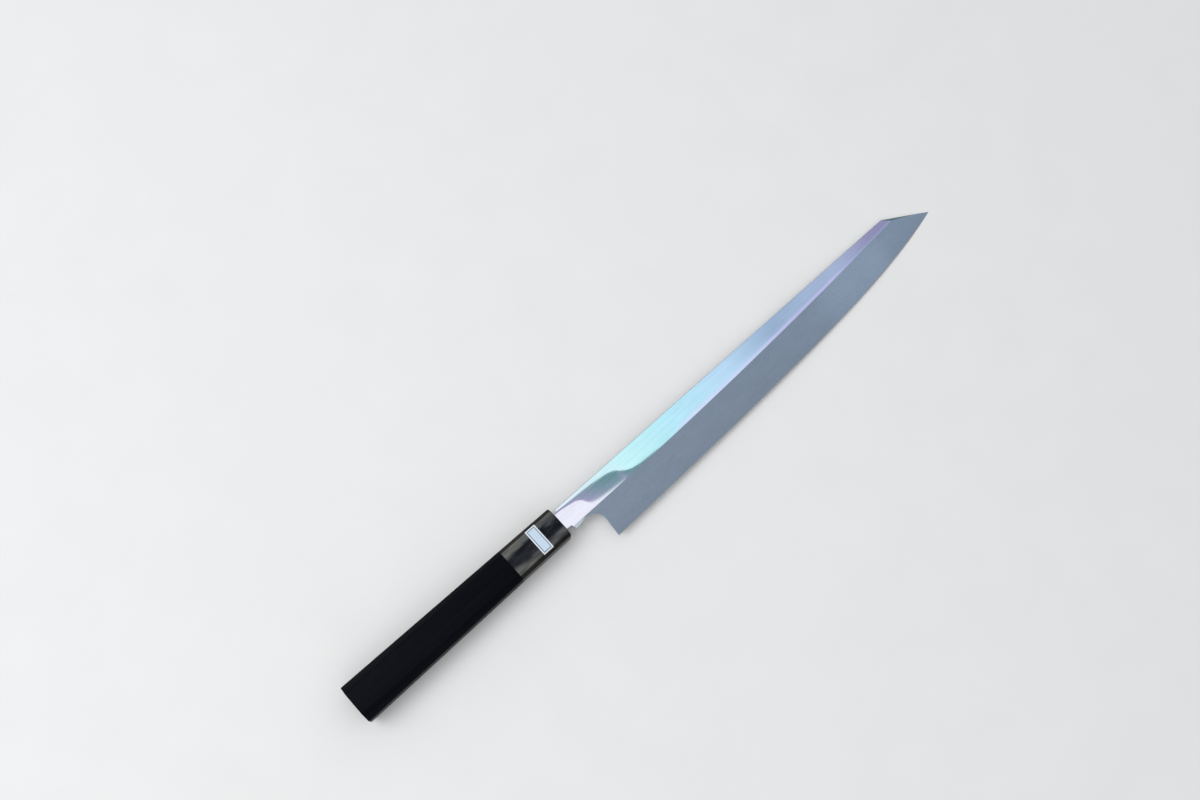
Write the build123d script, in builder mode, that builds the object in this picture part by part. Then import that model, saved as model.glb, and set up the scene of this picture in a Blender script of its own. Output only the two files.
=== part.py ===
from build123d import *
import os

# Frame: +X along the handle's axis towards the tip, +Y towards the spine, +Z out of the
# bevelled face. The origin is the middle of the ferrule's front face. Millimetres.

# Blade, seen on its bevelled face
tip_x = 302.8
tip_y = -7.7
heel_x = 21.2
heel_y = -27.85
machi_x = 4.2
spine_y = 7.8
spine_rise = 0.4
clip_x = 275.2
neck_step_x = 5.4
neck_step_y = -8.7
choil_x = 22.3
choil_y = -6.7
choil_radius = 8
ridge_low_y = -6.6
ridge_end_x = 276.9
ridge_end_y = 3.35
ridge_start_x = 14

# The edge rises from heel to tip by a third of each of these powers of its length
edge_powers = (1, 3, 7)
ridge_power = 2
curve_stations = 12
bevel_overrun_share = 0.15

# Blade, across its thickness
neck_thickness = 4.4
clip_thickness = 1.9
edge_land = 0.25
spine_easing = 0.4

# Hollow in the blade's back, inside a flat rim
hollow_start_x = 29
hollow_end_gap = 13
spine_rim = 1.9
edge_rim = 1.4
clip_rim = 2.6
hollow_depth_share = 0.2
hollow_end_depth_share = 0.05
hollow_end_width_share = 0.35
hollow_end_power = 6
hollow_stations = 24

# Tang inside the handle
tang_length = 108
tang_root_width = 10.4
tang_end_width = 5.5
tang_end_thickness = 2.6

# Octagonal handle: width along Y, thickness along Z, corner is the cut off each corner
handle_length = 152.5
ferrule_length = 37.5
front_width = 20.4
front_thickness = 17.4
front_corner = 2.5
butt_width = 24.6
butt_thickness = 21
butt_corner = 5.1
front_chamfer = 0.8
butt_chamfer = 0.7

# Dowel, bedding and label
dowel_diameter = 14
dowel_clearance = 0.1
dowel_past_tang = 12
ferrule_wall = 6
bedding_gap = 0.35
bedding_past_tang = 2
label_length = 17
label_breadth = 7.1
label_thickness = 0.12
label_from_front = 12.4

overrun = 3


def spread(start, end, count):
    """Evenly spaced values from start to end, with this many steps between them."""
    return [start + (end - start) * step / count for step in range(count + 1)]


def edge_line(x):
    """Y of the cutting edge at x."""
    share = (x - heel_x) / (tip_x - heel_x)
    rise = sum(share**power for power in edge_powers) / len(edge_powers)
    return heel_y + (tip_y - heel_y) * rise


def ridge_line(x):
    """Y of the ridge where the flat meets the bevel."""
    share = (x - ridge_start_x) / (ridge_end_x - ridge_start_x)
    return ridge_low_y + (ridge_end_y - ridge_low_y) * share * abs(share) ** (ridge_power - 1)


def spine_line(x):
    """Y of the spine at x."""
    return spine_y + spine_rise * (x - machi_x) / (clip_x - machi_x)


def clip_line(x):
    """Y of the straight cut that runs from the spine down to the tip."""
    corner_y = spine_line(clip_x)
    return corner_y + (tip_y - corner_y) * (x - clip_x) / (tip_x - clip_x)


def thickness_at(x):
    """Thickness of the flat: an even taper from the machi to the clipped corner."""
    return neck_thickness + (clip_thickness - neck_thickness) * (x - machi_x) / (clip_x - machi_x)


def tang_size(x, root, end):
    """A size of the tang at x, from the machi back to its end."""
    return root + (end - root) * (machi_x - x) / (machi_x + tang_length)


def facet_plane(side, top, growth=0):
    """Plane of the facet that faces this way along Y and Z, each -1, 0 or 1. Its normal points out."""
    corner_share = abs(side * top) / 2
    front = Vector(
        0,
        side * (front_width / 2 - corner_share * front_corner),
        top * (front_thickness / 2 - corner_share * front_corner),
    )
    butt = Vector(
        -handle_length,
        side * (butt_width / 2 - corner_share * butt_corner),
        top * (butt_thickness / 2 - corner_share * butt_corner),
    )
    run = butt - front
    outwards = run.cross(Vector(0, -top, side)).normalized()
    return Plane(front + outwards * growth, x_dir=run, z_dir=outwards)


def tang_section(x, gap):
    """Section of the tang at x with this gap all round."""
    with BuildSketch(Plane.YZ.offset(x)) as section:
        Rectangle(
            tang_size(x, tang_root_width, tang_end_width) + 2 * gap,
            tang_size(x, neck_thickness, tang_end_thickness) + 2 * gap,
        )
    return section.sketch


back_z = -neck_thickness / 2
blade_end_x = tip_x + overrun

# The hollow of the back, a shallow round trough that ends short of the neck and the tip
hollow_end_x = tip_x - hollow_end_gap
with BuildPart() as back_hollow:
    for x in spread(hollow_start_x, hollow_end_x, hollow_stations):
        share = (x - hollow_start_x) / (hollow_end_x - hollow_start_x)
        closing = abs(2 * share - 1) ** hollow_end_power
        top = min(spine_line(x) - spine_rim, clip_line(x) - clip_rim)
        low = edge_line(x) + edge_rim
        middle = (low + top) / 2
        reach = (top - low) / 2 * (1 - closing * (1 - hollow_end_width_share))
        full_depth = hollow_depth_share * thickness_at(x)
        depth = full_depth * (1 - closing * (1 - hollow_end_depth_share))
        with BuildSketch(Plane.YZ.offset(x)):
            with BuildLine():
                ThreePointArc((middle - reach, back_z), (middle, back_z + depth), (middle + reach, back_z))
                Polyline(
                    (middle + reach, back_z),
                    (middle + reach, back_z - overrun),
                    (middle - reach, back_z - overrun),
                    (middle - reach, back_z),
                )
            make_face()
    loft()

# The tang, and the socket that the bedding fills round it
with BuildPart() as tang:
    add(tang_section(machi_x, 0))
    add(tang_section(-tang_length, 0))
    loft()

with BuildPart() as tang_socket:
    add(tang_section(0, bedding_gap))
    add(tang_section(-tang_length - bedding_past_tang, bedding_gap))
    loft()

# What grinding the bevel takes off: all above the line from the ridge down to the edge
with BuildPart() as bevel_cut:
    for x in spread(machi_x, blade_end_x, curve_stations):
        ridge = Vector(x, ridge_line(x), back_z + thickness_at(x))
        edge = Vector(x, edge_line(x), back_z + edge_land)
        above = ridge + (ridge - edge) * bevel_overrun_share
        below = edge + (edge - ridge) * bevel_overrun_share
        with BuildSketch(Plane.YZ.offset(x)):
            with BuildLine():
                Polyline((below.Y, below.Z), (above.Y, above.Z), (below.Y, above.Z), close=True)
            make_face()
    loft()

# Blade: its outline, cut down to the tapered face and then to the bevel, hollowed, with the tang
with BuildPart() as blade:
    with BuildSketch(Plane.XY.offset(back_z)) as outline:
        with BuildLine():
            Polyline(
                (tip_x, tip_y),
                (clip_x, spine_line(clip_x)),
                (machi_x, spine_y),
                (machi_x, -tang_root_width / 2),
                (neck_step_x, neck_step_y),
                (choil_x, choil_y),
                (heel_x, heel_y),
            )
            Spline(*[(x, edge_line(x)) for x in spread(heel_x, tip_x, curve_stations)])
        make_face()
        fillet(outline.vertices().sort_by_distance((choil_x, choil_y, back_z))[0], radius=choil_radius)
    extrude(amount=neck_thickness + overrun)
    face_plane = Plane(
        (machi_x, 0, back_z + neck_thickness),
        x_dir=(clip_x - machi_x, 0, clip_thickness - neck_thickness),
        z_dir=(neck_thickness - clip_thickness, 0, clip_x - machi_x),
    )
    split(bisect_by=face_plane, keep=Keep.BOTTOM)
    add(bevel_cut.part, mode=Mode.SUBTRACT)
    spine_edges = blade.edges().filter_by(
        lambda edge: edge.length > clip_x / 2 and edge.center().Y > spine_y - spine_easing
    )
    fillet(spine_edges, radius=spine_easing)
    add(back_hollow.part, mode=Mode.SUBTRACT)
    add(tang.part)

# The whole handle's tapered octagon, cut from a block one facet at a time
with BuildPart() as handle_form:
    with BuildSketch(Plane.YZ):
        Rectangle(butt_width + 2 * overrun, butt_thickness + 2 * overrun)
    extrude(amount=-handle_length)
    for side in (-1, 0, 1):
        for top in (-1, 0, 1):
            if side or top:
                split(bisect_by=facet_plane(side, top), keep=Keep.BOTTOM)

# Ferrule: its bore stops short of the front wall, which only the tang passes
bore_radius = dowel_diameter / 2 + dowel_clearance
dowel_end = tang_length + dowel_past_tang
with BuildPart() as ferrule:
    add(handle_form.part)
    split(bisect_by=Plane.YZ.offset(-ferrule_length), keep=Keep.TOP)
    chamfer(ferrule.faces().sort_by(Axis.X)[-1].edges(), length=front_chamfer)
    with BuildSketch(Plane.YZ.offset(-ferrule_length)):
        Circle(bore_radius)
    extrude(amount=ferrule_length - ferrule_wall, mode=Mode.SUBTRACT)
    add(tang_socket.part, mode=Mode.SUBTRACT)

with BuildPart() as handle_body:
    add(handle_form.part)
    split(bisect_by=Plane.YZ.offset(-ferrule_length), keep=Keep.BOTTOM)
    chamfer(handle_body.faces().sort_by(Axis.X)[0].edges(), length=butt_chamfer)
    with BuildSketch(Plane.YZ.offset(-ferrule_length)):
        Circle(bore_radius)
    extrude(amount=-(dowel_end + dowel_clearance - ferrule_length), mode=Mode.SUBTRACT)

# Dowel: glued into both bores and slotted for the tang
with BuildPart() as core_dowel:
    with BuildSketch(Plane.YZ.offset(-ferrule_wall - dowel_clearance)):
        Circle(dowel_diameter / 2)
    extrude(amount=-(dowel_end - ferrule_wall - dowel_clearance))
    add(tang_socket.part, mode=Mode.SUBTRACT)

with BuildPart() as tang_bedding:
    add(tang_socket.part)
    add(tang.part, mode=Mode.SUBTRACT)

# Label: wraps from the top facet a little way over both of its long edges
with BuildPart() as ferrule_label:
    with BuildSketch():
        with Locations((-label_from_front - label_breadth / 2, 0)):
            Rectangle(label_breadth, label_length)
    extrude(amount=front_thickness)
    for side in (-1, 0, 1):
        split(bisect_by=facet_plane(side, 1, label_thickness), keep=Keep.BOTTOM)
    add(handle_form.part, mode=Mode.SUBTRACT)

pieces = {
    "blade": blade,
    "ferrule": ferrule,
    "handle_body": handle_body,
    "core_dowel": core_dowel,
    "tang_bedding": tang_bedding,
    "ferrule_label": ferrule_label,
}
os.makedirs("parts", exist_ok=True)
for name, piece in pieces.items():
    piece.part.label = name
    export_step(piece.part, f"parts/{name}.step")
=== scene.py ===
import bmesh
import bpy
import functools
import math
from mathutils import Matrix, Vector


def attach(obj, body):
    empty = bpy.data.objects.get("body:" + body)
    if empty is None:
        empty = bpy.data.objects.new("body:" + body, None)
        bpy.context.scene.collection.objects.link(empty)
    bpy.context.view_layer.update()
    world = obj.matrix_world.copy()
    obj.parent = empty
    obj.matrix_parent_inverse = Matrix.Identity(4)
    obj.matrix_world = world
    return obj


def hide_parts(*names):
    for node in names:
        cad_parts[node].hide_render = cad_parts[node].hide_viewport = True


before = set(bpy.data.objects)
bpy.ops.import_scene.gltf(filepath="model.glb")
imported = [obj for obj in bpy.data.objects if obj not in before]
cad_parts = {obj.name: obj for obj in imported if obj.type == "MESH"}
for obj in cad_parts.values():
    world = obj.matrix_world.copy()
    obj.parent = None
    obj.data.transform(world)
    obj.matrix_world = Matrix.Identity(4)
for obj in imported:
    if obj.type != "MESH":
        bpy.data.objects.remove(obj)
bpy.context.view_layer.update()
print("frame loaded:", sorted(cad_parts))

metresPerMm = 0.001        # every size below is in millimetres, but for noise scales and bump depths
toMm = (1000, 1000, 1000)  # the scale that turns object coordinates, which are metres, into them
closeMm = 0.001            # points nearer than this are one


def mix(a, b, share):
    return a + (b - a) * share


def smoothStep(low, high, value):
    share = min(max((value - low) / (high - low), 0), 1)
    return share * share * (3 - 2 * share)


def newObject(name, data):
    made = bpy.data.objects.new(name, data)
    bpy.context.scene.collection.objects.link(made)
    return made


# Camera, where the photograph was taken from

viewSet = {
    "place": (-97.433, -92.498, 781.878),
    "turn": (14.905783, -2.401881, -42.440259),  # degrees
    "lens": 40.9484,
    "sensor": 36,
    "nearest": 10,
}

cameraData = bpy.data.cameras.new("viewCamera")
cameraData.sensor_width = viewSet["sensor"]
cameraData.lens = viewSet["lens"]
cameraData.clip_start = viewSet["nearest"] * metresPerMm
viewCamera = newObject("viewCamera", cameraData)
viewCamera.location = Vector(viewSet["place"]) * metresPerMm
viewCamera.rotation_euler = [math.radians(angle) for angle in viewSet["turn"]]
bpy.context.scene.camera = viewCamera
print("camera placed")


# Nodes for the finishes

def newFinish(name, metallic=0.0, roughness=0.5, specular=0.5):
    material = bpy.data.materials.new(name)
    material.use_nodes = True
    shader = material.node_tree.nodes["Principled BSDF"]
    shader.inputs["Metallic"].default_value = metallic
    shader.inputs["Roughness"].default_value = roughness
    shader.inputs["Specular IOR Level"].default_value = specular
    return material, material.node_tree, shader


def addNode(tree, kind, inputs=None, **settings):
    node = tree.nodes.new(kind)
    for key, value in settings.items():
        setattr(node, key, value)
    for socket, source in (inputs or {}).items():
        if isinstance(source, bpy.types.NodeSocket):
            tree.links.new(source, node.inputs[socket])
        else:
            node.inputs[socket].default_value = source
    return node


def stretched(tree, scale, place=(0, 0, 0)):
    # object coordinates times this scale
    coords = addNode(tree, "ShaderNodeTexCoord")
    links = {"Vector": coords.outputs["Object"], "Scale": scale, "Location": place}
    return addNode(tree, "ShaderNodeMapping", links).outputs[0]


def noiseOf(tree, scale, detail=2.0, roughness=0.5, distortion=0.0):
    links = {
        "Vector": stretched(tree, scale), "Scale": 1.0, "Detail": detail, "Roughness": roughness,
        "Distortion": distortion,
    }
    return addNode(tree, "ShaderNodeTexNoise", links).outputs["Fac"]


def rampOf(tree, value, stops):
    node = addNode(tree, "ShaderNodeValToRGB", {"Fac": value})
    elements = node.color_ramp.elements
    while len(elements) < len(stops):
        elements.new(1)
    for element, (place, color) in zip(elements, stops):
        element.position = place
        element.color = (*color, 1)
    return node.outputs["Color"]


def spanOf(tree, value, low, high, toLow=0.0, toHigh=1.0):
    links = {"Value": value, "From Min": low, "From Max": high, "To Min": toLow, "To Max": toHigh}
    return addNode(tree, "ShaderNodeMapRange", links, interpolation_type="SMOOTHSTEP").outputs["Result"]


def variedOf(tree, noise, toLow, toHigh):
    # nearly all of a noise lies between 0.3 and 0.7
    return spanOf(tree, noise, 0.3, 0.7, toLow, toHigh)


def swayOf(tree, noise, reach):
    return variedOf(tree, noise, -reach, reach)


def mathOf(tree, operation, a, b=0.0):
    return addNode(tree, "ShaderNodeMath", {0: a, 1: b}, operation=operation).outputs[0]


def sumOf(tree, first, *others):
    for other in others:
        first = mathOf(tree, "ADD", first, other)
    return first


def productOf(tree, first, *others):
    for other in others:
        first = mathOf(tree, "MULTIPLY", first, other)
    return first


def mixColors(tree, share, a, b, kind="MIX"):
    def asColor(value):
        return value if isinstance(value, bpy.types.NodeSocket) else (*value, 1)
    links = {0: share, 6: asColor(a), 7: asColor(b)}
    return addNode(tree, "ShaderNodeMix", links, data_type="RGBA", blend_type=kind).outputs[2]


def tinted(tree, color, tone):
    gray = addNode(tree, "ShaderNodeCombineColor", {0: tone, 1: tone, 2: tone}).outputs[0]
    return mixColors(tree, 1.0, color, gray, "MULTIPLY")


def axisOf(tree, vector, axis):
    return addNode(tree, "ShaderNodeSeparateXYZ", {0: vector}).outputs[axis]


def bumpOf(tree, height, distance, under=None):
    links = {"Height": height, "Distance": distance, "Strength": 1.0}
    if under is not None:
        links["Normal"] = under
    return addNode(tree, "ShaderNodeBump", links).outputs["Normal"]


def feed(tree, source, shader, socket):
    tree.links.new(source, shader.inputs[socket])


# Finishing a mesh into a piece

def openEdges(bm):
    return [edge for edge in bm.edges if edge.is_boundary]


def vertsOf(made):
    return [part for part in made["geom"] if isinstance(part, bmesh.types.BMVert)]


def withBorders(faces):
    # these faces with their edges and corners, each once
    return list(dict.fromkeys(part for face in faces for part in (face, *face.edges, *face.verts)))


def settleFaces(bm, degrees):
    # faces point outwards, and creases lie between finishes and at corners sharper than this
    bmesh.ops.recalc_face_normals(bm, faces=bm.faces)
    for edge in bm.edges:
        if len(edge.link_faces) == 2:
            one, other = edge.link_faces
            alike = one.material_index == other.material_index
            edge.smooth = alike and edge.calc_face_angle(0) < math.radians(degrees)


def meshObject(bm, name, materials):
    bmesh.ops.transform(bm, matrix=Matrix.Scale(metresPerMm, 4), verts=bm.verts)
    mesh = bpy.data.meshes.new(name)
    bm.to_mesh(mesh)
    bm.free()
    for material in materials:
        mesh.materials.append(material)
    return newObject(name, mesh)


def finishPiece(bm, name, replaced, materials):
    loose = [edge for edge in bm.edges if len(edge.link_faces) != 2]
    if loose:
        print("edges without two faces left in", name, len(loose))
    for face in bm.faces:
        face.smooth = True
    piece = meshObject(bm, name, materials)
    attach(piece, "root")
    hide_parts(replaced)
    print("made", name, "with", len(piece.data.polygons), "faces")


# Blade

bladeSet = {
    "tip": (302.8, -7.7),
    "heel": (21.2, -27.85),
    "machi": (4.2, 7.8),
    "machiFoot": (0.9, 5.2),          # where the shoulder meets the tang
    "neckFoot": (0.9, -5.0),
    "neckNotch": (4.2, -5.4),
    "neckStep": (5.4, -8.7),
    "choilCorner": (22.55, -6.6),
    "choilRadius": 7.9,
    "clip": (275.2, 8.2),
    "ridgeLow": -6.6,
    "ridgeStart": 14,
    "ridgeEnd": (276.9, 3.35),
    "edgePowers": (1, 3, 7),
    "neckThickness": 4.4,
    "clipThickness": 1.9,
    "edgeLand": 0.25,
    "edgeBevel": 0.3,                 # width of the fine bevel along the edge
    "edgeLeft": 0.04,                 # thickness left at the very edge
    "spineEasing": 0.4,
    "choilEasing": 0.3,
    "choilEasingShare": 0.35,         # the most of the blade's thickness that the easing takes
    "choilFade": (0.8, 0.96),         # shares of the choil's outline where its easing runs out
    "fanRidge": ((0.327, 16), (0.65, 25), (1, 30)),  # the same shares, and where on the ridge they end
    "clipFacet": (-0.1005, -0.0913),  # slopes of the facet along the clip
    "clipReach": 8,                   # the facet starts less than this before the clipped corner
    "ridgeSteps": 40,                 # steps that find where the ridge meets the clip
    "probe": 0.1,                     # share of a column where its slant to the outline is taken
    "columns": (48, 300),             # round the choil and along the edge
    "rows": (3, 14, 36, 3),           # on the edge, the bevel, the flat and the eased spine
    "crease": 40,                     # degrees
}
fanColumns, edgeColumns = bladeSet["columns"]
edgeRows, bevelRows, flatRows, easeRows = bladeSet["rows"]

tangSet = {
    "end": -108,
    "width": 5.5,
    "thickness": 2.6,
    "rootSlack": 0.02,                # how far off the root's plane a face may lie
}
hollowSet = {
    "spineRim": 1.9,
    "edgeRim": 1.4,
    "reach": (0.012, 0.972),          # shares of the edge's columns
    "depth": 0.2,
    "endDepth": 0.05,
    "endWidth": 0.35,
    "power": 6,
    "rimRows": 2,                     # rows of the rim next to the edge's and the spine's own rows
    "settled": 0.9,                   # the share of the choil's columns by which the rows suit the hollow
}
# The polish turns the flat away at the neck, gently from an upper line and fully by a lower one.
# Each point is x, then the share of the flat's width from the ridge to the spine.
rollSet = {
    "upper": (
        (4, 0.905), (10, 0.875), (20, 0.845), (30, 0.775), (35, 0.73), (40, 0.665), (43, 0.6), (45, 0.53),
        (47, 0.4), (49.5, 0.265), (52, 0.175), (56, 0.095), (60, 0.055), (66, 0.02), (80, -0.06),
    ),
    "lower": (
        (4, 0.835), (8, 0.79), (12, 0.745), (15, 0.7), (17, 0.635), (18.5, 0.55), (19.6, 0.44),
        (20.5, 0.33), (22, 0.235), (25, 0.16), (30, 0.1), (40, 0.03), (46, -0.01), (52, -0.1),
        (62, -0.2), (80, -0.4),
    ),
    "leastGap": 0.05,                 # between the two lines
    "fade": (72, 84),
    "slope": (0.0068, 0.00063),       # on the axis, and how much more each millimetre up
    "startRate": 2.5,                 # how quickly the turning sets in above the upper line
    "turn": 0.010,
    "mostTurns": 2.2,
    "ridgeTurn": 0.0105,
    "ridgeShare": 0.4,
    "ridgeReach": (74, 96),
    "grid": 0.5,
    "steps": 60,
}
backZ = -bladeSet["neckThickness"] / 2
(tipX, tipY), (heelX, heelY) = bladeSet["tip"], bladeSet["heel"]
(neckX, neckY), (clipX, clipY) = bladeSet["machi"], bladeSet["clip"]


def edgeLine(x):
    share = (x - heelX) / (tipX - heelX)
    powers = bladeSet["edgePowers"]
    return mix(heelY, tipY, sum(share ** power for power in powers) / len(powers))


def ridgeLine(x):
    endX, endY = bladeSet["ridgeEnd"]
    share = (x - bladeSet["ridgeStart"]) / (endX - bladeSet["ridgeStart"])
    return mix(bladeSet["ridgeLow"], endY, share * abs(share))


def spineLine(x):
    return mix(neckY, clipY, (x - neckX) / (clipX - neckX))


def clipLine(x):
    return mix(clipY, tipY, (x - clipX) / (tipX - clipX))


def thicknessAt(x):
    return mix(bladeSet["neckThickness"], bladeSet["clipThickness"], (x - neckX) / (clipX - neckX))


def alongCurve(points, x):
    # a smooth line through given points
    x = min(max(x, points[0][0]), points[-1][0])
    spot = next(spot for spot in range(len(points) - 1) if x <= points[spot + 1][0])
    around = [points[min(max(spot + shift, 0), len(points) - 1)] for shift in (-1, 0, 1, 2)]
    before, start, end, after = around
    span = end[0] - start[0]
    share = (x - start[0]) / span
    startPull = (end[1] - before[1]) / (end[0] - before[0]) * span
    endPull = (after[1] - start[1]) / (after[0] - start[0]) * span
    bend = share * (1 - share) * (startPull * (1 - share) - endPull * share)
    return mix(start[1], end[1], smoothStep(0, 1, share)) + bend


def turnAt(x, share):
    # how steeply the polished flat falls towards the ridge, by its share of the way to the spine
    upper = alongCurve(rollSet["upper"], x)
    lower = min(alongCurve(rollSet["lower"], x), upper - rollSet["leastGap"])
    slope, slopePerMm = rollSet["slope"]
    start = max(slope + slopePerMm * mix(ridgeLine(x), spineLine(x), share), 0)
    way = (upper - share) / (upper - lower)
    if way < 0:
        turned = start * math.exp(rollSet["startRate"] * way)
    else:
        turned = start + rollSet["turn"] * min(way, rollSet["mostTurns"])
    ridgeShare = rollSet["ridgeShare"]
    nearRidge = smoothStep(ridgeShare, 0, share) if share < ridgeShare else 0
    ridgeTurn = rollSet["ridgeTurn"] * nearRidge * smoothStep(*rollSet["ridgeReach"], x)
    return turned * (1 - smoothStep(*rollSet["fade"], x)) + ridgeTurn


@functools.cache
def rollDepths(line):
    # the turning adds up from the spine down to the ridge, on a line across the blade
    steps = rollSet["steps"]
    x = line * rollSet["grid"]
    drop = (spineLine(x) - ridgeLine(x)) / steps
    depths = [0.0]
    for step in range(steps):
        depths.append(depths[-1] + turnAt(x, 1 - (step + 0.5) / steps) * drop)
    return depths


def rollOn(line, share):
    way = (1 - min(max(share, 0), 1)) * rollSet["steps"]
    low = min(int(way), rollSet["steps"] - 1)
    return mix(rollDepths(line)[low], rollDepths(line)[low + 1], way - low)


def rollAt(x, share):
    line = math.floor(x / rollSet["grid"])
    return mix(rollOn(line, share), rollOn(line + 1, share), x / rollSet["grid"] - line)


def faceHeight(x, y):
    # height of the ground face: the flat above the ridge, the bevel below it
    flatZ = backZ + thicknessAt(x)
    ridgeY = ridgeLine(x)
    if y >= ridgeY:
        return flatZ - rollAt(x, (y - ridgeY) / (spineLine(x) - ridgeY))
    lowZ = backZ + bladeSet["edgeLand"]
    return mix(lowZ, flatZ - rollAt(x, 0), (y - edgeLine(x)) / (ridgeY - edgeLine(x)))


# The choil's outline, from the neck step round the arc to the heel
choilCorner, neckStep, heel = (Vector(bladeSet[key]) for key in ("choilCorner", "neckStep", "heel"))
toNeck, toHeel = (neckStep - choilCorner).normalized(), (heel - choilCorner).normalized()
halfAngle = toNeck.angle(toHeel) / 2
arcRadius = bladeSet["choilRadius"]
arcCentre = choilCorner + (toNeck + toHeel).normalized() * arcRadius / math.sin(halfAngle)
arcStart = choilCorner + toNeck * arcRadius / math.tan(halfAngle)
arcEnd = choilCorner + toHeel * arcRadius / math.tan(halfAngle)
arcRun = (math.pi - 2 * halfAngle) * arcRadius
choilRuns = ((arcStart - neckStep).length, arcRun, (heel - arcEnd).length)


def choilPoint(share):
    run = share * sum(choilRuns)
    if run < choilRuns[0]:
        return neckStep.lerp(arcStart, run / choilRuns[0])
    run -= choilRuns[0]
    if run < choilRuns[1]:
        return arcCentre + Matrix.Rotation(-run / arcRadius, 2) @ (arcStart - arcCentre)
    return arcEnd.lerp(heel, (run - choilRuns[1]) / choilRuns[2])


def choilDistance(point):
    if (point - arcStart).dot(toNeck) > 0:
        return abs((point - arcStart).cross(toNeck))
    if (point - arcEnd).dot(toHeel) > 0:
        return abs((point - arcEnd).cross(toHeel))
    return max((point - arcCentre).length - arcRadius, 0)


def roundedDrop(distance, radius):
    # how far a rounded edge lies below the face, this far in from the outline
    if distance >= radius:
        return 0
    return radius * (1 - math.sqrt(max(1 - (1 - distance / radius) ** 2, 0)))


def easedInset(step, steps, radius):
    # how far in from the outline a step of a rounded edge lies
    return radius * (1 - math.cos(math.pi / 2 * step / steps))


ridgeEndX = clipX  # where the ridge meets the clip
for _ in range(bladeSet["ridgeSteps"]):
    ridgeEndX += clipLine(ridgeEndX) - ridgeLine(ridgeEndX)


def shoulderX(y):
    # the blade's end towards the handle, down the machi, the tang's root and the neck's notch
    line = [bladeSet[key] for key in ("machi", "machiFoot", "neckFoot", "neckNotch", "neckStep")]
    for (highX, highY), (lowX, lowY) in zip(line, line[1:]):
        if y >= lowY:
            return mix(lowX, highX, (y - lowY) / (highY - lowY))
    return line[-1][0]


neckRidgeX = shoulderX(ridgeLine(bladeSet["neckNotch"][0]))  # where the ridge starts at the neck's notch
fanRidge = ((0, neckRidgeX), *bladeSet["fanRidge"])
fanEnd = fanRidge[-1][1]


def columnEnds(column):
    # a column's points on the outline, on the ridge and on the spine
    if column <= fanColumns:
        share = column / fanColumns
        low = choilPoint(share)
        ridgeX = alongCurve(fanRidge, share)
        spineX = mix(neckX, fanEnd, (ridgeX - neckRidgeX) / (fanEnd - neckRidgeX))
    else:
        share = (column - fanColumns) / edgeColumns
        lowX = mix(heelX, tipX, share)
        low = Vector((lowX, edgeLine(lowX)))
        ridgeX = mix(fanEnd, ridgeEndX, share)
        spineX = mix(fanEnd, clipX, share)
    return low, Vector((ridgeX, ridgeLine(ridgeX))), Vector((spineX, spineLine(spineX)))


columns = fanColumns + edgeColumns
ridgeRow = edgeRows + bevelRows
spineRow = ridgeRow + flatRows
rows = spineRow + easeRows
columnLines = [columnEnds(column) for column in range(columns + 1)]


def columnPoint(column, y):
    low, ridge, spine = columnLines[column]
    if column == 0:
        halfRow = (spine.y - ridge.y) / flatRows / 2
        for key in ("machiFoot", "neckFoot", "neckNotch"):
            if abs(y - bladeSet[key][1]) < halfRow:
                return Vector(bladeSet[key])
        return Vector((shoulderX(y), y))
    if y <= ridge.y:
        return low.lerp(ridge, (y - low.y) / (ridge.y - low.y))
    return ridge.lerp(spine, (y - ridge.y) / (spine.y - ridge.y))


def easingLeft(column):
    # the choil's easing runs out short of the heel
    return 1 - smoothStep(*bladeSet["choilFade"], column / fanColumns)


def choilEasingAt(column, thickness):
    return min(bladeSet["choilEasing"], bladeSet["choilEasingShare"] * thickness) * easingLeft(column)


def edgeReach(column):
    # how far up its column the rounded or bevelled edge reaches
    if column >= fanColumns:
        return bladeSet["edgeBevel"]
    low, ridge, _ = columnLines[column]
    probe = low.lerp(ridge, bladeSet["probe"])
    slant = (probe.y - low.y) / choilDistance(probe)
    return mix(bladeSet["edgeBevel"], bladeSet["choilEasing"] * slant, easingLeft(column))


def plainY(column, row):
    low, ridge, spine = columnLines[column]
    reach = edgeReach(column)
    easing = bladeSet["spineEasing"]
    if row <= edgeRows and column < fanColumns:
        return low.y + easedInset(row, edgeRows, reach)
    if row <= edgeRows:
        return low.y + reach * row / edgeRows
    if row <= ridgeRow:
        return mix(low.y + reach, ridge.y, (row - edgeRows) / bevelRows)
    if row <= spineRow:
        return mix(ridge.y, spine.y - easing, (row - ridgeRow) / flatRows)
    return spine.y - easedInset(rows - row, easeRows, easing)


def frontPlace(column, row):
    point = columnPoint(column, plainY(column, row))
    height = faceHeight(point.x, point.y)
    if column >= fanColumns and row < edgeRows:
        inner = columnPoint(column, plainY(column, edgeRows))
        height = mix(backZ + bladeSet["edgeLeft"], faceHeight(inner.x, inner.y), row / edgeRows)
    if column < fanColumns and row < ridgeRow:
        height -= roundedDrop(choilDistance(point), choilEasingAt(column, height - backZ))
    if row > spineRow:
        height -= roundedDrop(spineLine(point.x) - point.y, bladeSet["spineEasing"])
    return Vector((point.x, point.y, height))


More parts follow.
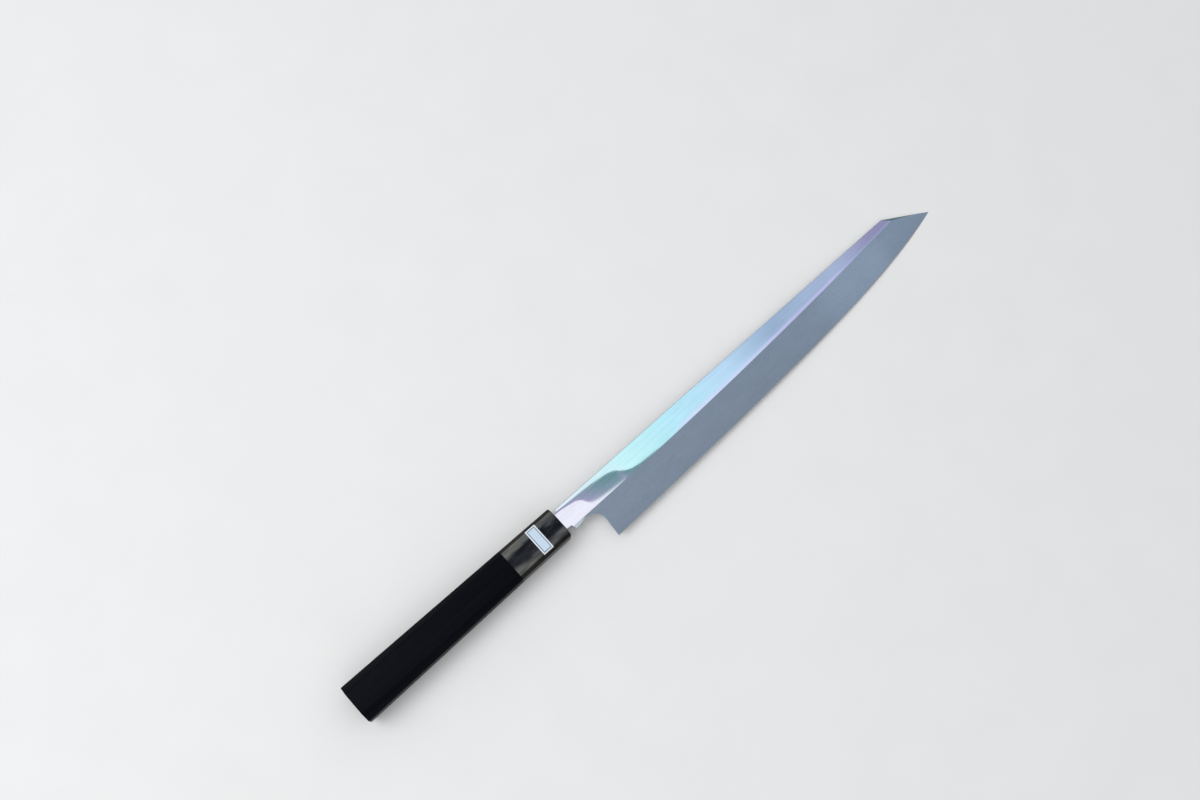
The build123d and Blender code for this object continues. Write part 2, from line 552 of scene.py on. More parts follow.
def hollowAt(column):
    # middle, half width and depth of the back's hollow on a column
    low, _, spine = columnLines[column]
    start, end = hollowSet["reach"]
    share = ((column - fanColumns) / edgeColumns - start) / (end - start)
    closing = min(abs(2 * share - 1), 1) ** hollowSet["power"]
    bottom, top = low.y + hollowSet["edgeRim"], spine.y - hollowSet["spineRim"]
    middle = (bottom + top) / 2
    reach = (top - bottom) / 2 * (1 - closing * (1 - hollowSet["endWidth"]))
    depth = 0
    if 0 <= share <= 1:
        full = hollowSet["depth"] * thicknessAt(columnPoint(column, middle).x)
        depth = full * (1 - closing * (1 - hollowSet["endDepth"]))
    return middle, reach, depth


innerRow = rows - easeRows
firstHollow, lastHollow = edgeRows + hollowSet["rimRows"], innerRow - hollowSet["rimRows"]


def backY(column, row):
    # the back's rows crowd into its hollow and leave a rim on both sides
    middle, reach, _ = hollowAt(column)
    bottom, top = middle - reach, middle + reach
    if edgeRows < row < firstHollow:
        return mix(plainY(column, edgeRows), bottom, (row - edgeRows) / (firstHollow - edgeRows))
    if firstHollow <= row <= lastHollow:
        return mix(bottom, top, (row - firstHollow) / (lastHollow - firstHollow))
    if lastHollow < row < innerRow:
        spineY = columnLines[column][2].y - bladeSet["spineEasing"]
        return mix(top, spineY, (row - lastHollow) / (innerRow - lastHollow))
    return plainY(column, row)


def backPlace(column, row):
    settled = smoothStep(1, fanColumns * hollowSet["settled"], column)
    y = mix(plainY(column, row), backY(column, row), settled)
    point = columnPoint(column, y)
    height = backZ
    if firstHollow <= row <= lastHollow:
        middle, reach, full = hollowAt(column)
        height += full * (1 - ((y - middle) / reach) ** 2)
    if column < fanColumns and row < firstHollow:
        thickness = faceHeight(point.x, point.y) - backZ
        height += roundedDrop(choilDistance(point), choilEasingAt(column, thickness))
    if row > spineRow:
        height += roundedDrop(spineLine(point.x) - point.y, bladeSet["spineEasing"])
    return Vector((point.x, point.y, height))


# finishes of the blade's faces, by their place in the list of materials
flatPart, bevelPart, edgePart, wallPart, rimPart, hollowPart, facetPart, tangPart = range(8)


def frontPart(column, row):
    if row < edgeRows and column >= fanColumns:
        return edgePart
    if row < ridgeRow:
        return bevelPart
    return flatPart if row < spineRow else wallPart


def backPart(column, row):
    if row >= spineRow:
        return wallPart
    depth = hollowAt(min(column + 1, columns))[2]
    return hollowPart if depth > 0 and firstHollow <= row < lastHollow else rimPart


def makeSheet(bm, place, part):
    # a grid over the whole blade, each vertex put where its column and row belong
    made = bmesh.ops.create_grid(bm, x_segments=columns, y_segments=rows, size=1)
    spots = {}
    for vertex in made["verts"]:
        spots[vertex] = (round((vertex.co.x + 1) / 2 * columns), round((vertex.co.y + 1) / 2 * rows))
    for face in dict.fromkeys(face for vertex in made["verts"] for face in vertex.link_faces):
        face.material_index = part(*(min(spots[v][axis] for v in face.verts) for axis in (0, 1)))
    for vertex, spot in spots.items():
        vertex.co = place(*spot)
    return [edge for edge in bm.edges if edge.is_boundary and edge.verts[0] in spots]


bladeMesh = bmesh.new()
frontRim = makeSheet(bladeMesh, frontPlace, frontPart)
backRim = makeSheet(bladeMesh, backPlace, backPart)
walls = bmesh.ops.bridge_loops(bladeMesh, edges=frontRim + backRim)["faces"]
for face in walls:
    face.material_index = wallPart
bmesh.ops.recalc_face_normals(bladeMesh, faces=bladeMesh.faces)

# The tang is pulled out of the wall at its root
rootX, rootTop = bladeSet["machiFoot"]
rootWidth = rootTop - bladeSet["neckFoot"][1]
slack = tangSet["rootSlack"]
rootFaces = [face for face in walls if all(abs(v.co.x - rootX) < slack for v in face.verts)]
pulled = bmesh.ops.extrude_face_region(bladeMesh, geom=rootFaces)
bmesh.ops.delete(bladeMesh, geom=[face for face in rootFaces if face.is_valid], context="FACES")
for vertex in vertsOf(pulled):
    vertex.co.x = tangSet["end"]
    vertex.co.y *= tangSet["width"] / rootWidth
    vertex.co.z *= tangSet["thickness"] / bladeSet["neckThickness"]
for face in bladeMesh.faces:
    if any(v.co.x < rootX - slack for v in face.verts):
        face.material_index = tangPart

# The clip's facet is ground with one flat cut, which runs out on the bevel
slopeX, slopeY = bladeSet["clipFacet"]
nearX = clipX - bladeSet["clipReach"]
nearTip = [face for face in bladeMesh.faces if all(v.co.x > nearX for v in face.verts)]
bmesh.ops.bisect_plane(
    bladeMesh,
    geom=withBorders(nearTip),
    plane_co=(clipX, clipY, backZ + thicknessAt(clipX)),
    plane_no=(-slopeX, -slopeY, 1),
    clear_outer=True,
)
facets = bmesh.ops.holes_fill(bladeMesh, edges=openEdges(bladeMesh), sides=0)["faces"]
for face in facets:
    face.material_index = facetPart
settleFaces(bladeMesh, bladeSet["crease"])

# UV: how far along in centimetres, and across, 0 at the edge, 1 at the ridge and 2 at the spine
ground = bladeMesh.loops.layers.uv.new("ground")
for face in bladeMesh.faces:
    for loop in face.loops:
        x, y = loop.vert.co.x, loop.vert.co.y
        edgeY, ridgeY, spineY = edgeLine(x), ridgeLine(x), spineLine(x)
        across = (y - edgeY) / (ridgeY - edgeY) if y < ridgeY else 1 + (y - ridgeY) / (spineY - ridgeY)
        loop[ground].uv = (x / 10, min(max(across, 0), 2))

# Ground steel: streaks run along the blade, the grain is fine and even, the haze is cloudy
steelNoises = {
    "streaks": {"scale": (18, 1300, 400), "detail": 3},
    "grain": {"scale": (2100, 2100, 2100), "detail": 3, "roughness": 0.75},
    "haze": {"scale": (60, 140, 60), "detail": 4},
    "waves": {"scale": (14, 160, 20), "detail": 1},
}
hazeReach = (0.35, 0.65)  # the haze takes its full strength between these values of its noise
# In the order of the parts above: the color, how much each noise varies it, the roughness, which
# a noise varies where it has two values, and how deep each noise goes, in metres
steelSet = {
    "mirrorSteel": {
        "color": (0.9, 0.93, 0.95), "streaks": 0.03, "grain": 0.01, "haze": 0.02,
        "roughness": (0.016, 0.034), "relief": {"streaks": 0.0000002, "waves": 0.0000025},
    },
    "hazySteel": {
        "color": (0.345, 0.405, 0.475), "streaks": 0.02, "grain": 0.12, "haze": 0.02,
        "roughness": (0.41, 0.44), "relief": {"grain": 0.000012},
    },
    "edgeSteel": {
        "color": (0.56, 0.62, 0.66), "streaks": 0.03, "grain": 0.05, "haze": 0.0,
        "roughness": 0.34, "relief": {"streaks": 0.000001},
    },
    "wallSteel": {
        "color": (0.7, 0.73, 0.76), "streaks": 0.06, "grain": 0.03, "haze": 0.03,
        "roughness": (0.16, 0.28), "relief": {"streaks": 0.000002},
    },
    "rimSteel": {
        "color": (0.82, 0.85, 0.88), "streaks": 0.04, "grain": 0.02, "haze": 0.03,
        "roughness": (0.09, 0.16), "relief": {"streaks": 0.000001},
    },
    "hollowSteel": {
        "color": (0.58, 0.61, 0.65), "streaks": 0.09, "grain": 0.04, "haze": 0.04,
        "roughness": (0.24, 0.36), "relief": {"grain": 0.000004, "streaks": 0.000004},
    },
    "facetSteel": {
        "color": (0.66, 0.73, 0.72), "streaks": 0.03, "grain": 0.02, "haze": 0.02,
        "roughness": 0.1, "relief": {},
    },
    "tangSteel": {
        "color": (0.38, 0.37, 0.36), "streaks": 0.1, "grain": 0.08, "haze": 0.1,
        "roughness": 0.4, "relief": {"haze": 0.00005},
    },
}
# The bevel is a little darker towards the edge, has painted reflection that makes it paler towards the
# tip, and is polished out at the neck
bevelSet = {
    "edgeShade": (0.6, 0.95),         # how far up the bevel the shade reaches, and its tone at the edge
    # painted reflection: the bevel brightens towards the tip, and in a paler band before it
    "tipSheen": (14, 27, 1.18),        # from here to there along the blade, in centimetres, to this tone
    "sheenBandFrom": (19.5, 22.5),
    "sheenBandTo": (25.5, 27),
    "pale": 0.13,
    "neckPolish": (0.95, 1.5),
    "polishColor": (0.82, 0.92, 0.96),
    "polish": 0.25,                   # how much less rough the polish is
}


def bevelLook(tree, tone, hazeRoughness):
    # color, tone and roughness of the bevel, by its place on the blade
    place = addNode(tree, "ShaderNodeUVMap", uv_map="ground").outputs[0]
    alongCm, across = axisOf(tree, place, 0), axisOf(tree, place, 1)
    shadeReach, shadeTone = bevelSet["edgeShade"]
    tipStart, tipEnd, tipSheen = bevelSet["tipSheen"]
    tone = productOf(tree, tone, spanOf(tree, across, 0.0, shadeReach, shadeTone, 1.0))
    # painted reflection: brighter towards the tip
    tone = productOf(tree, tone, spanOf(tree, alongCm, tipStart, tipEnd, 1.0, tipSheen))
    # painted reflection: a paler band before the tip
    sheenBandStart = spanOf(tree, alongCm, *bevelSet["sheenBandFrom"])
    paler = productOf(tree, sheenBandStart, spanOf(tree, alongCm, *bevelSet["sheenBandTo"], 1.0, 0.0))
    tone = productOf(tree, tone, sumOf(tree, 1.0, productOf(tree, paler, bevelSet["pale"])))
    polished = spanOf(tree, alongCm, *bevelSet["neckPolish"], 1.0, 0.0)
    color = mixColors(tree, polished, steelSet["hazySteel"]["color"], bevelSet["polishColor"])
    smoother = productOf(tree, polished, bevelSet["polish"])
    return color, tone, mathOf(tree, "SUBTRACT", hazeRoughness, smoother)


def steelFinish(name):
    finish = steelSet[name]
    varied = isinstance(finish["roughness"], tuple)
    roughness = finish["roughness"][0] if varied else finish["roughness"]
    material, tree, shader = newFinish(name, metallic=1.0, roughness=roughness)
    kinds = dict.fromkeys(("streaks", "grain", "haze", *finish["relief"]))
    noises = {kind: noiseOf(tree, **steelNoises[kind]) for kind in kinds}
    streaks = swayOf(tree, noises["streaks"], finish["streaks"])
    grain = swayOf(tree, noises["grain"], finish["grain"])
    haze = spanOf(tree, noises["haze"], *hazeReach, -finish["haze"], finish["haze"])
    color, tone = finish["color"], sumOf(tree, 1.0, sumOf(tree, streaks, grain, haze))
    if name == "hazySteel":
        roughness = variedOf(tree, noises["haze"], *finish["roughness"])
        color, tone, roughness = bevelLook(tree, tone, roughness)
    elif varied:
        roughness = variedOf(tree, noises["streaks"], *finish["roughness"])
    if varied:
        feed(tree, roughness, shader, "Roughness")
    feed(tree, tinted(tree, color, tone), shader, "Base Color")
    normal = None
    for kind, depth in finish["relief"].items():
        normal = bumpOf(tree, noises[kind], depth, normal)
    if normal is not None:
        feed(tree, normal, shader, "Normal")
    return material


steels = [steelFinish(name) for name in steelSet]
finishPiece(bladeMesh, "blade_ground", "blade", steels)


# Octagonal handle: width along Y, thickness along Z, and the cut off each corner

handleSet = {
    "length": 152.5,
    "front": (20.4, 17.4, 2.5),
    "butt": (24.6, 21, 5.1),
    "blank": 60,                      # side of the square block that it is cut from
    "easing": 0.35,
    "segments": 3,
    "longEdge": 5,                    # an edge that runs further than this along the handle is eased
    "bore": 14.2,
    "crease": 32,                     # degrees
}
buttX = -handleSet["length"]


def facetPlane(side, top):
    # a point of the facet that faces this way along Y and Z, and its outward normal
    cut = abs(side * top) / 2
    ends = []
    for x, (width, thickness, cornerCut) in ((0, handleSet["front"]), (buttX, handleSet["butt"])):
        y, z = side * (width / 2 - cut * cornerCut), top * (thickness / 2 - cut * cornerCut)
        ends.append(Vector((x, y, z)))
    return ends[0], (ends[1] - ends[0]).cross(Vector((0, -top, side))).normalized()


def octagonBlock(startX, endX):
    # a block between two ends of the handle, cut down one facet at a time
    bm = bmesh.new()
    bmesh.ops.create_cube(bm, size=1)
    bmesh.ops.scale(bm, vec=(startX - endX, handleSet["blank"], handleSet["blank"]), verts=bm.verts)
    bmesh.ops.translate(bm, vec=((startX + endX) / 2, 0, 0), verts=bm.verts)
    for side in (-1, 0, 1):
        for top in (-1, 0, 1):
            if side or top:
                place, normal = facetPlane(side, top)
                geom = bm.verts[:] + bm.edges[:] + bm.faces[:]
                bmesh.ops.bisect_plane(bm, geom=geom, plane_co=place, plane_no=normal, clear_outer=True)
                bmesh.ops.holes_fill(bm, edges=openEdges(bm), sides=0)
    bmesh.ops.remove_doubles(bm, verts=bm.verts, dist=closeMm)
    return bm


def atX(part, x):
    return all(abs(v.co.x - x) < closeMm for v in part.verts)


def easeEdges(bm, edges, offset, segments):
    bmesh.ops.bevel(
        bm, geom=edges, offset=offset, offset_type="OFFSET", segments=segments, profile=0.5,
        affect="EDGES", material=-1, clamp_overlap=True,
    )


def easeLongEdges(bm):
    longEdge = handleSet["longEdge"]
    longEdges = [edge for edge in bm.edges if abs(edge.verts[0].co.x - edge.verts[1].co.x) > longEdge]
    easeEdges(bm, longEdges, handleSet["easing"], handleSet["segments"])


def easeEnd(bm, x, offset, segments):
    easeEdges(bm, [edge for edge in bm.edges if atX(edge, x)], offset, segments)


def sinkLoop(bm, edges, depth):
    # pulls an open loop of edges into the piece and gives its new end
    sunk = bmesh.ops.extrude_edge_only(bm, edges=edges)
    bmesh.ops.translate(bm, vec=(depth, 0, 0), verts=vertsOf(sunk))
    return [part for part in sunk["geom"] if isinstance(part, bmesh.types.BMEdge) and part.is_boundary]


def drillBore(bm, mouthX, endX):
    mouth = max((face for face in bm.faces if atX(face, mouthX)), key=lambda face: face.calc_area())
    rim = mouth.edges[:]
    bmesh.ops.delete(bm, geom=[mouth], context="FACES_ONLY")
    upright = Matrix.Translation((mouthX, 0, 0)) @ Matrix.Rotation(math.pi / 2, 4, "Y")
    ring = bmesh.ops.create_circle(bm, segments=len(rim), radius=handleSet["bore"] / 2, matrix=upright)
    ringEdges = list(dict.fromkeys(edge for vertex in ring["verts"] for edge in vertex.link_edges))
    bmesh.ops.bridge_loops(bm, edges=rim + ringEdges)
    return sinkLoop(bm, ringEdges, endX - mouthX)


# Ferrule

ferruleSet = {
    "length": 37.5,
    "mouthEasing": (0.9, 5),          # radius and segments
    "jointEasing": (0.12, 1),
    "wall": 6,
    "slot": (5.55, 2.55),             # half width and half height of the slot for the tang
}
jointX = -ferruleSet["length"]

ferruleMesh = octagonBlock(0, jointX)
easeLongEdges(ferruleMesh)
easeEnd(ferruleMesh, 0, *ferruleSet["mouthEasing"])
easeEnd(ferruleMesh, jointX, *ferruleSet["jointEasing"])
boreEnd = drillBore(ferruleMesh, jointX, -ferruleSet["wall"])

# the slot is marked out on the front face with four cuts, and sunk to meet the bore
for axis, half in enumerate(ferruleSet["slot"], start=1):
    for sign in (-1, 1):
        place, normal = Vector(), Vector()
        place[axis], normal[axis] = half * sign, sign
        geom = withBorders([face for face in ferruleMesh.faces if atX(face, 0)])
        bmesh.ops.bisect_plane(ferruleMesh, geom=geom, plane_co=place, plane_no=normal)
frontFaces = [face for face in ferruleMesh.faces if atX(face, 0)]
slotFace = min(frontFaces, key=lambda face: face.calc_center_median().length)
slotEdges = slotFace.edges[:]
bmesh.ops.delete(ferruleMesh, geom=[slotFace], context="FACES_ONLY")
slotEnd = sinkLoop(ferruleMesh, slotEdges, -ferruleSet["wall"])
bmesh.ops.bridge_loops(ferruleMesh, edges=slotEnd + boreEnd)
settleFaces(ferruleMesh, handleSet["crease"])

# Horn: a dark core along the middle, cloudy marbling over it, and painted shade on the sides
hornSet = {
    "specular": 0.08,
    "roughness": (0.26, 0.38),
    "warp": {"scale": (55, 90, 90), "detail": 2},
    "marbling": {"scale": (30, 150, 150), "detail": 4, "distortion": 0.8},
    "clouds": {"scale": (110, 260, 260), "detail": 3},
    "fibres": {"scale": (150, 1300, 1300), "detail": 3},
    "warpMm": 1.3,
    "core": (0.4, 5.5, 0.62),         # from here to there off the axis, to this lightness
    "paleEnd": (-28, -4, 1.2, 0.85),  # from here to there along it, from this strength to that
    "marblingTone": 0.2,
    "cloudTone": 0.1,
    "fibreShare": (0.55, 0.8, 0, 0.25),
    "colors": (
        (0.05, (0.006, 0.007, 0.01)), (0.3, (0.02, 0.022, 0.027)), (0.55, (0.068, 0.07, 0.07)),
        (0.75, (0.105, 0.11, 0.1)), (1.0, (0.16, 0.16, 0.14)),
    ),
    # painted shade: below this height the side facets are darkened towards near black, by this share
    "side": (7.9, 8.7, 0.93),         # below here the sides show, by this share
    "sideShadeColor": (0.008, 0.006, 0.005),
    "fibreColor": (0.12, 0.12, 0.11),
    "relief": (0.000004, 0.00002),    # of the fibres and of the marbling, in metres
}
hornFinish, tree, shader = newFinish("buffaloHorn", specular=hornSet["specular"])
warp, marbling, clouds, fibres = (
    noiseOf(tree, **hornSet[kind]) for kind in ("warp", "marbling", "clouds", "fibres")
)
placeMm = stretched(tree, toMm)
alongMm, acrossMm, upMm = (axisOf(tree, placeMm, axis) for axis in range(3))
warped = sumOf(tree, acrossMm, swayOf(tree, warp, hornSet["warpMm"]))
coreStart, coreEnd, coreLightness = hornSet["core"]
offCore = spanOf(tree, mathOf(tree, "ABSOLUTE", warped), coreStart, coreEnd, 0.0, coreLightness)
offCore = productOf(tree, offCore, spanOf(tree, alongMm, *hornSet["paleEnd"]))
marblingTone = swayOf(tree, marbling, hornSet["marblingTone"])
lightness = sumOf(tree, offCore, marblingTone, swayOf(tree, clouds, hornSet["cloudTone"]))
hornColor = rampOf(tree, lightness, hornSet["colors"])
# painted shade: the facets below the top facet are mixed towards near black
sideShadeLow, sideShadeHigh, sideShadeShare = hornSet["side"]
side = spanOf(tree, mathOf(tree, "ABSOLUTE", upMm), sideShadeLow, sideShadeHigh, sideShadeShare, 0.0)
hornColor = mixColors(tree, side, hornColor, hornSet["sideShadeColor"])
fibreShare = spanOf(tree, fibres, *hornSet["fibreShare"])
hornColor = mixColors(tree, fibreShare, hornColor, hornSet["fibreColor"])
feed(tree, hornColor, shader, "Base Color")
feed(tree, variedOf(tree, fibres, *hornSet["roughness"]), shader, "Roughness")
fibreDepth, marblingDepth = hornSet["relief"]
feed(tree, bumpOf(tree, marbling, marblingDepth, bumpOf(tree, fibres, fibreDepth)), shader, "Normal")
finishPiece(ferruleMesh, "ferrule_horn", "ferrule", [hornFinish])


# Grip

gripSet = {"buttEasing": (0.7, 4), "boreEnd": -120.1}

gripMesh = octagonBlock(jointX, buttX)
easeLongEdges(gripMesh)
easeEnd(gripMesh, buttX, *gripSet["buttEasing"])
easeEnd(gripMesh, jointX, *ferruleSet["jointEasing"])
boreEnd = drillBore(gripMesh, jointX, gripSet["boreEnd"])
bmesh.ops.holes_fill(gripMesh, edges=boreEnd, sides=0)
settleFaces(gripMesh, handleSet["crease"])

# Ebony: near black, with long grain and open pores
ebonySet = {
    "specular": 0.05,
    "roughness": (0.4, 0.5),
    "poreRoughness": 0.2,
    "grain": {"scale": (14, 300, 300), "detail": 5, "roughness": 0.6, "distortion": 0.3},
    "pores": {"scale": (160, 2600, 2600), "detail": 2},
    "poreReach": (0.60, 0.72),
    "colors": (
        (0.3, (0.0007, 0.001, 0.0024)), (0.55, (0.0014, 0.002, 0.0045)), (0.8, (0.0038, 0.0042, 0.0075)),
    ),
    "poreColor": (0.0015, 0.0015, 0.0018),
    "poreShare": 0.7,
    "grainHeight": 0.4,               # against a pore's depth of 1
    "relief": 0.00002,
}
ebonyFinish, tree, shader = newFinish("ebony", specular=ebonySet["specular"])
grain = noiseOf(tree, **ebonySet["grain"])
poreMask = spanOf(tree, noiseOf(tree, **ebonySet["pores"]), *ebonySet["poreReach"])
ebonyColor = rampOf(tree, grain, ebonySet["colors"])
poreShare = productOf(tree, poreMask, ebonySet["poreShare"])
feed(tree, mixColors(tree, poreShare, ebonyColor, ebonySet["poreColor"]), shader, "Base Color")
poreRoughness = productOf(tree, poreMask, ebonySet["poreRoughness"])
ebonyRoughness = sumOf(tree, variedOf(tree, grain, *ebonySet["roughness"]), poreRoughness)
feed(tree, ebonyRoughness, shader, "Roughness")
ebonyHeight = mathOf(tree, "SUBTRACT", productOf(tree, grain, ebonySet["grainHeight"]), poreMask)
feed(tree, bumpOf(tree, ebonyHeight, ebonySet["relief"]), shader, "Normal")
finishPiece(gripMesh, "grip_ebony", "handle_body", [ebonyFinish])


# Paper label across the ferrule

labelSet = {
    "centreX": -15.95,
    "size": (7.1, 17),
    "thickness": 0.1,
    "lift": 0.015,
    "softness": 0.14,                 # how softly it turns over the facet's edges
    "segments": (14, 96),
    "crease": 50,                     # degrees
    "roughness": 0.55,
    "specular": 0.3,
    "line": (1.0, 0.46),              # the printed frame: how far in, and how wide
    "lineFade": (0.3, 0.7),           # shares of its width where it fades out
    "lineShare": 0.9,
    "lineColor": (0.045, 0.07, 0.14),
    "inkReach": 0.25,                 # how softly the inside's tint starts
    "rimColor": (0.74, 0.8, 0.87),
    "insideColor": (0.55, 0.67, 0.79),
    "fibres": {"scale": (900, 900, 900), "detail": 5, "roughness": 0.7},
    "fibreShare": (0.35, 0.7, 0, 0.3),
    "fibreColor": (0.42, 0.52, 0.62),
    "relief": 0.00001,
}
labelLength, labelWidth = labelSet["size"]


def handleTop(x, y):
    heights = []
    for side in (-1, 0, 1):
        place, normal = facetPlane(side, 1)
        heights.append(place.z - ((x - place.x) * normal.x + (y - place.y) * normal.y) / normal.z)
    flat, slant = heights[1], min(heights[0], heights[2])
    softness = labelSet["softness"]
    overlap = max(softness - abs(flat - slant), 0) / softness
    return min(flat, slant) - overlap * overlap * softness / 4


labelMesh = bmesh.new()
alongSegments, acrossSegments = labelSet["segments"]
bmesh.ops.create_grid(labelMesh, x_segments=alongSegments, y_segments=acrossSegments, size=0.5)
for vertex in labelMesh.verts:
    x, y = labelSet["centreX"] + vertex.co.x * labelLength, vertex.co.y * labelWidth
    vertex.co = (x, y, handleTop(x, y) + labelSet["lift"])
bmesh.ops.recalc_face_normals(labelMesh, faces=labelMesh.faces)
bmesh.ops.solidify(labelMesh, geom=labelMesh.faces[:], thickness=-labelSet["thickness"])
settleFaces(labelMesh, labelSet["crease"])

paperFinish, tree, shader = newFinish(
    "labelPaper", roughness=labelSet["roughness"], specular=labelSet["specular"],
)
placeMm = stretched(tree, toMm, (-labelSet["centreX"], 0, 0))
fromSide, fromEnd = (
    mathOf(tree, "SUBTRACT", size / 2, mathOf(tree, "ABSOLUTE", axisOf(tree, placeMm, axis)))
    for axis, size in enumerate(labelSet["size"])
)
fromRim = mathOf(tree, "MINIMUM", fromSide, fromEnd)
lineIn, lineWidth = labelSet["line"]
offLine = mathOf(tree, "ABSOLUTE", mathOf(tree, "SUBTRACT", fromRim, lineIn))
onLine = spanOf(tree, offLine, *(lineWidth * share for share in labelSet["lineFade"]), 1.0, 0.0)
inside = spanOf(tree, fromRim, lineIn, lineIn + labelSet["inkReach"])
fibres = noiseOf(tree, **labelSet["fibres"])
paperColor = mixColors(tree, inside, labelSet["rimColor"], labelSet["insideColor"])
fibreShare = spanOf(tree, fibres, *labelSet["fibreShare"])
paperColor = mixColors(tree, fibreShare, paperColor, labelSet["fibreColor"])
lineShare = productOf(tree, onLine, labelSet["lineShare"])
feed(tree, mixColors(tree, lineShare, paperColor, labelSet["lineColor"]), shader, "Base Color")
feed(tree, bumpOf(tree, fibres, labelSet["relief"]), shader, "Normal")
finishPiece(labelMesh, "label_paper", "ferrule_label", [paperFinish])


# Finishes of the two solids inside the handle

insideSet = {
    "core_dowel": {
        "name": "dowelWood",
        "roughness": 0.6,
        "specular": 0.3,
        "noise": {"scale": (12, 420, 420), "detail": 4, "distortion": 0.4},
        "colors": ((0.3, (0.48, 0.34, 0.19)), (0.5, (0.62, 0.47, 0.29)), (0.75, (0.7, 0.56, 0.37))),
        "relief": 0.00004,
    },
    "tang_bedding": {
        "name": "darkResin",
        "roughness": 0.35,
        "specular": 0.4,
        "noise": {"scale": (900, 900, 900), "detail": 3},
        "colors": ((0.3, (0.012, 0.009, 0.007)), (0.7, (0.03, 0.022, 0.016))),
        "relief": 0.00002,
    },
}

for node, inner in insideSet.items():
    finish, tree, shader = newFinish(
        inner["name"], roughness=inner["roughness"], specular=inner["specular"],
    )
    noise = noiseOf(tree, **inner["noise"])
    feed(tree, rampOf(tree, noise, inner["colors"]), shader, "Base Color")
    feed(tree, bumpOf(tree, noise, inner["relief"]), shader, "Normal")
    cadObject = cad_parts[node]
    cadObject.data.materials.clear()
    cadObject.data.materials.append(finish)
    print("finished", node)


# Floor, which touches the ferrule's lower front edge and the blade's tip

floorSet = {
    "size": 6000,
    "restX": -0.8,
    "restZ": -8.709,
    "slope": 0.02144,
    "roughness": 0.9,
    "specular": 0.1,
    "mottle": {"scale": (30, 30, 30), "detail": 6},
    "colors": ((0.3, (0.755, 0.755, 0.755)), (0.7, (0.77, 0.77, 0.77))),
}
floorFinish, tree, shader = newFinish(
    "paleFloor", roughness=floorSet["roughness"], specular=floorSet["specular"],
)
mottle = noiseOf(tree, **floorSet["mottle"])
feed(tree, rampOf(tree, mottle, floorSet["colors"]), shader, "Base Color")
# from underneath the floor is clear, so that the knife's lower side shows
clear = addNode(tree, "ShaderNodeBsdfTransparent").outputs[0]
underneath = addNode(tree, "ShaderNodeNewGeometry").outputs["Backfacing"]
sided = addNode(tree, "ShaderNodeMixShader", {0: underneath, 1: shader.outputs[0], 2: clear}).outputs[0]
feed(tree, sided, tree.nodes["Material Output"], "Surface")
floorMesh = bmesh.new()
bmesh.ops.create_grid(floorMesh, x_segments=1, y_segments=1, size=floorSet["size"] / 2)
for vertex in floorMesh.verts:
    vertex.co.z = floorSet["restZ"] + floorSet["slope"] * (vertex.co.x - floorSet["restX"])
meshObject(floorMesh, "floor", [floorFinish])
print("floor laid")


# Studio: soft light from all round and above, and what polished steel shows of it

studioSet = {
    "lampPlace": (-800, 500, 1300),
    "lampAim": (80, 0, 0),
    "lampSize": 1.0,                  # metres
    "lampEnergy": 11,
    "strength": 1.0,
    # from one height to another, and the color there
    "soft": ((-0.1, 0.9), (0.34, 0.34, 0.35), (0.86, 0.87, 0.88)),
    "backdrop": ((0.0, 0.4), (0.64, 0.64, 0.65), (0.86, 0.86, 0.86)),
}
# Polished steel reflects the studio by direction: along and across the knife, and upward
reflectSet = {
    # overhead it runs through pale blue to lilac along the knife, from 0 at its back end to 1 in front
    "overhead": (
        (0.40, (0.5, 0.51, 0.53)), (0.51, (0.28, 0.29, 0.34)), (0.553, (0.32, 0.33, 0.40)),
        (0.570, (0.90, 0.92, 1.0)), (0.602, (0.62, 0.98, 1.0)), (0.625, (0.52, 0.88, 0.99)),
        (0.650, (0.54, 0.76, 0.97)), (0.672, (0.35, 0.47, 0.66)), (0.702, (0.42, 0.50, 0.70)),
        (0.716, (0.31, 0.29, 0.49)), (0.76, (0.17, 0.24, 0.26)), (0.87, (0.17, 0.24, 0.26)),
        (0.96, (0.45, 0.47, 0.5)),
    ),
    # a dull strip by the neck, and a paler patch past it
    "neckEnd": (0.225, 0.245),
    "stripNear": (0.0815, 0.0845),
    "stripFar": (0.103, 0.1045),
    "stripAlong": (0.154, 0.186),
    "stripAlongShare": 0.75,
    "stripAcross": (0.086, 0.102),
    "stripAcrossShare": 0.25,
    "stripColors": ((0.38, 0.35, 0.53), (0.145, 0.285, 0.32)),
    "pastEnd": (-0.05, 0.02),
    "pastColor": (0.91, 0.89, 1.0),
    # lighter and more lilac along the ridge
    "glowStart": (0.236, 0.262),
    "glowAcross": (0.094, 0.101),
    "glowWider": (0.33, 0.38, 0.003),  # from here to there the glow grows wider by this
    "glowShare": 0.7,
    "glowColors": ((0.72, 0.75, 1.0), (0.6, 0.57, 0.9), (0.33, 0.4, 0.61)),
    "glowTurns": ((0.31, 0.37), (0.39, 0.43)),
    # plain towards the lower side and the horizon
    "lowSide": (-0.12, 0.03),
    "lowColor": (0.56, 0.6, 0.66),
    "horizon": (0.2, 0.7),
    "horizonColor": (0.3, 0.31, 0.33),
}

world = bpy.data.worlds.new("studio")
bpy.context.scene.world = world
world.use_nodes = True
tree = world.node_tree
sky = addNode(tree, "ShaderNodeTexCoord").outputs["Generated"]
alongX, alongY, upward = (axisOf(tree, sky, axis) for axis in range(3))
rays = addNode(tree, "ShaderNodeLightPath")


def rising(value, reach):
    return spanOf(tree, value, *reach)


def falling(value, reach):
    return spanOf(tree, value, *reach, 1.0, 0.0)


reflected = rampOf(tree, sumOf(tree, productOf(tree, alongX, 0.5), 0.5), reflectSet["overhead"])

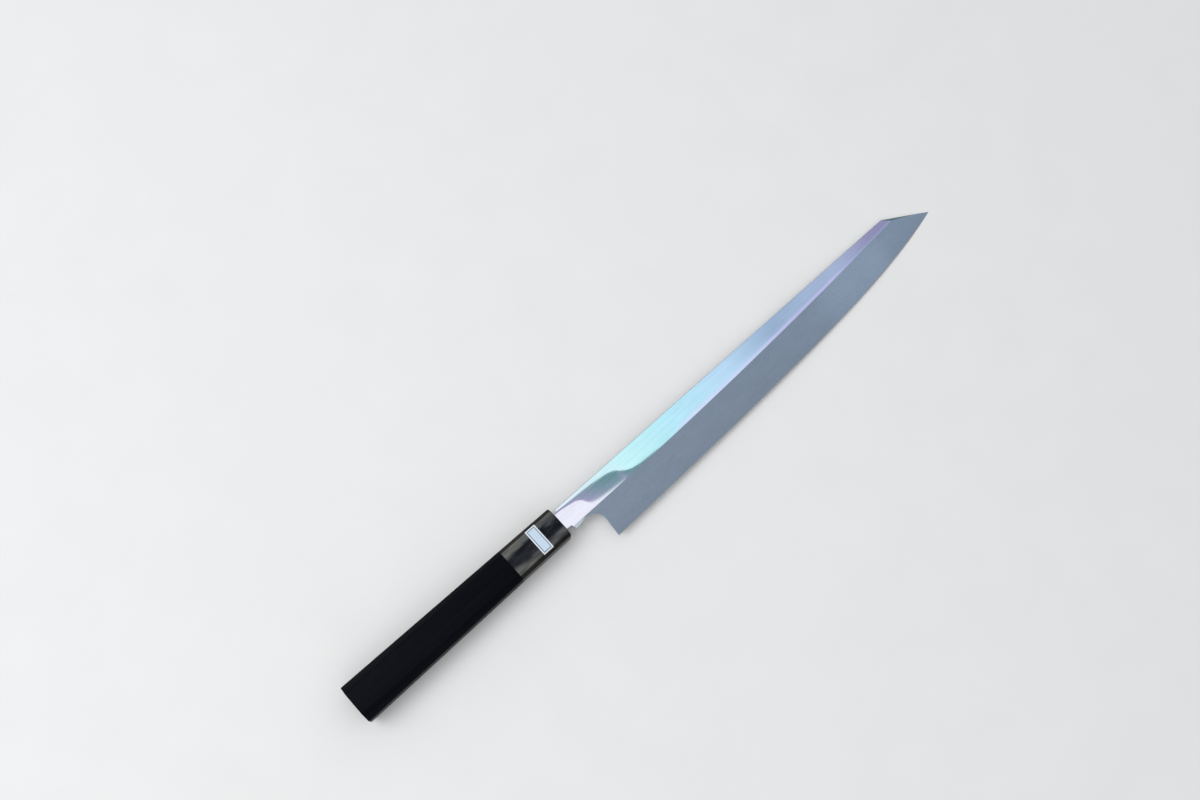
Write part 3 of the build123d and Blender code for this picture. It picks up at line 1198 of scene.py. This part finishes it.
nearNeck = falling(alongX, reflectSet["neckEnd"])
stripNear = reflectSet["stripNear"]
inStrip = productOf(tree, rising(alongY, stripNear), falling(alongY, reflectSet["stripFar"]), nearNeck)
pastStrip = productOf(tree, falling(alongY, stripNear), rising(alongY, reflectSet["pastEnd"]), nearNeck)
stripAlong = productOf(tree, rising(alongX, reflectSet["stripAlong"]), reflectSet["stripAlongShare"])
stripAcross = productOf(tree, rising(alongY, reflectSet["stripAcross"]), reflectSet["stripAcrossShare"])
stripColor = mixColors(tree, sumOf(tree, stripAlong, stripAcross), *reflectSet["stripColors"])
reflected = mixColors(tree, inStrip, reflected, stripColor)
reflected = mixColors(tree, pastStrip, reflected, reflectSet["pastColor"])

widerStart, widerEnd, wider = reflectSet["glowWider"]
fromRidge = mathOf(tree, "SUBTRACT", alongY, spanOf(tree, alongX, widerStart, widerEnd, 0.0, wider))
glowAcross = falling(fromRidge, reflectSet["glowAcross"])
glow = productOf(tree, glowAcross, rising(alongX, reflectSet["glowStart"]))
glowColor, *laterColors = reflectSet["glowColors"]
for reach, color in zip(reflectSet["glowTurns"], laterColors):
    glowColor = mixColors(tree, rising(alongX, reach), glowColor, color)
reflected = mixColors(tree, productOf(tree, glow, reflectSet["glowShare"]), reflected, glowColor)
reflected = mixColors(tree, falling(alongY, reflectSet["lowSide"]), reflected, reflectSet["lowColor"])
reflected = mixColors(tree, falling(upward, reflectSet["horizon"]), reflected, reflectSet["horizonColor"])

softReach, softLow, softHigh = studioSet["soft"]
backdropReach, backdropLow, backdropHigh = studioSet["backdrop"]
soft = mixColors(tree, rising(upward, softReach), softLow, softHigh)
backdrop = mixColors(tree, rising(upward, backdropReach), backdropLow, backdropHigh)
seen = mixColors(tree, rays.outputs["Is Glossy Ray"], soft, reflected)
seen = mixColors(tree, rays.outputs["Is Camera Ray"], seen, backdrop)
feed(tree, seen, tree.nodes["Background"], "Color")
tree.nodes["Background"].inputs["Strength"].default_value = studioSet["strength"]

lamp = bpy.data.lights.new("softLamp", "AREA")
lamp.shape = "SQUARE"
lamp.size = studioSet["lampSize"]
lamp.energy = studioSet["lampEnergy"]
softLamp = newObject("softLamp", lamp)
softLamp.location = Vector(studioSet["lampPlace"]) * metresPerMm
toAim = Vector(studioSet["lampAim"]) * metresPerMm - softLamp.location
softLamp.rotation_euler = toAim.to_track_quat("-Z", "Y").to_euler()

bpy.context.scene.view_settings.view_transform = "Standard"
print("studio lit")
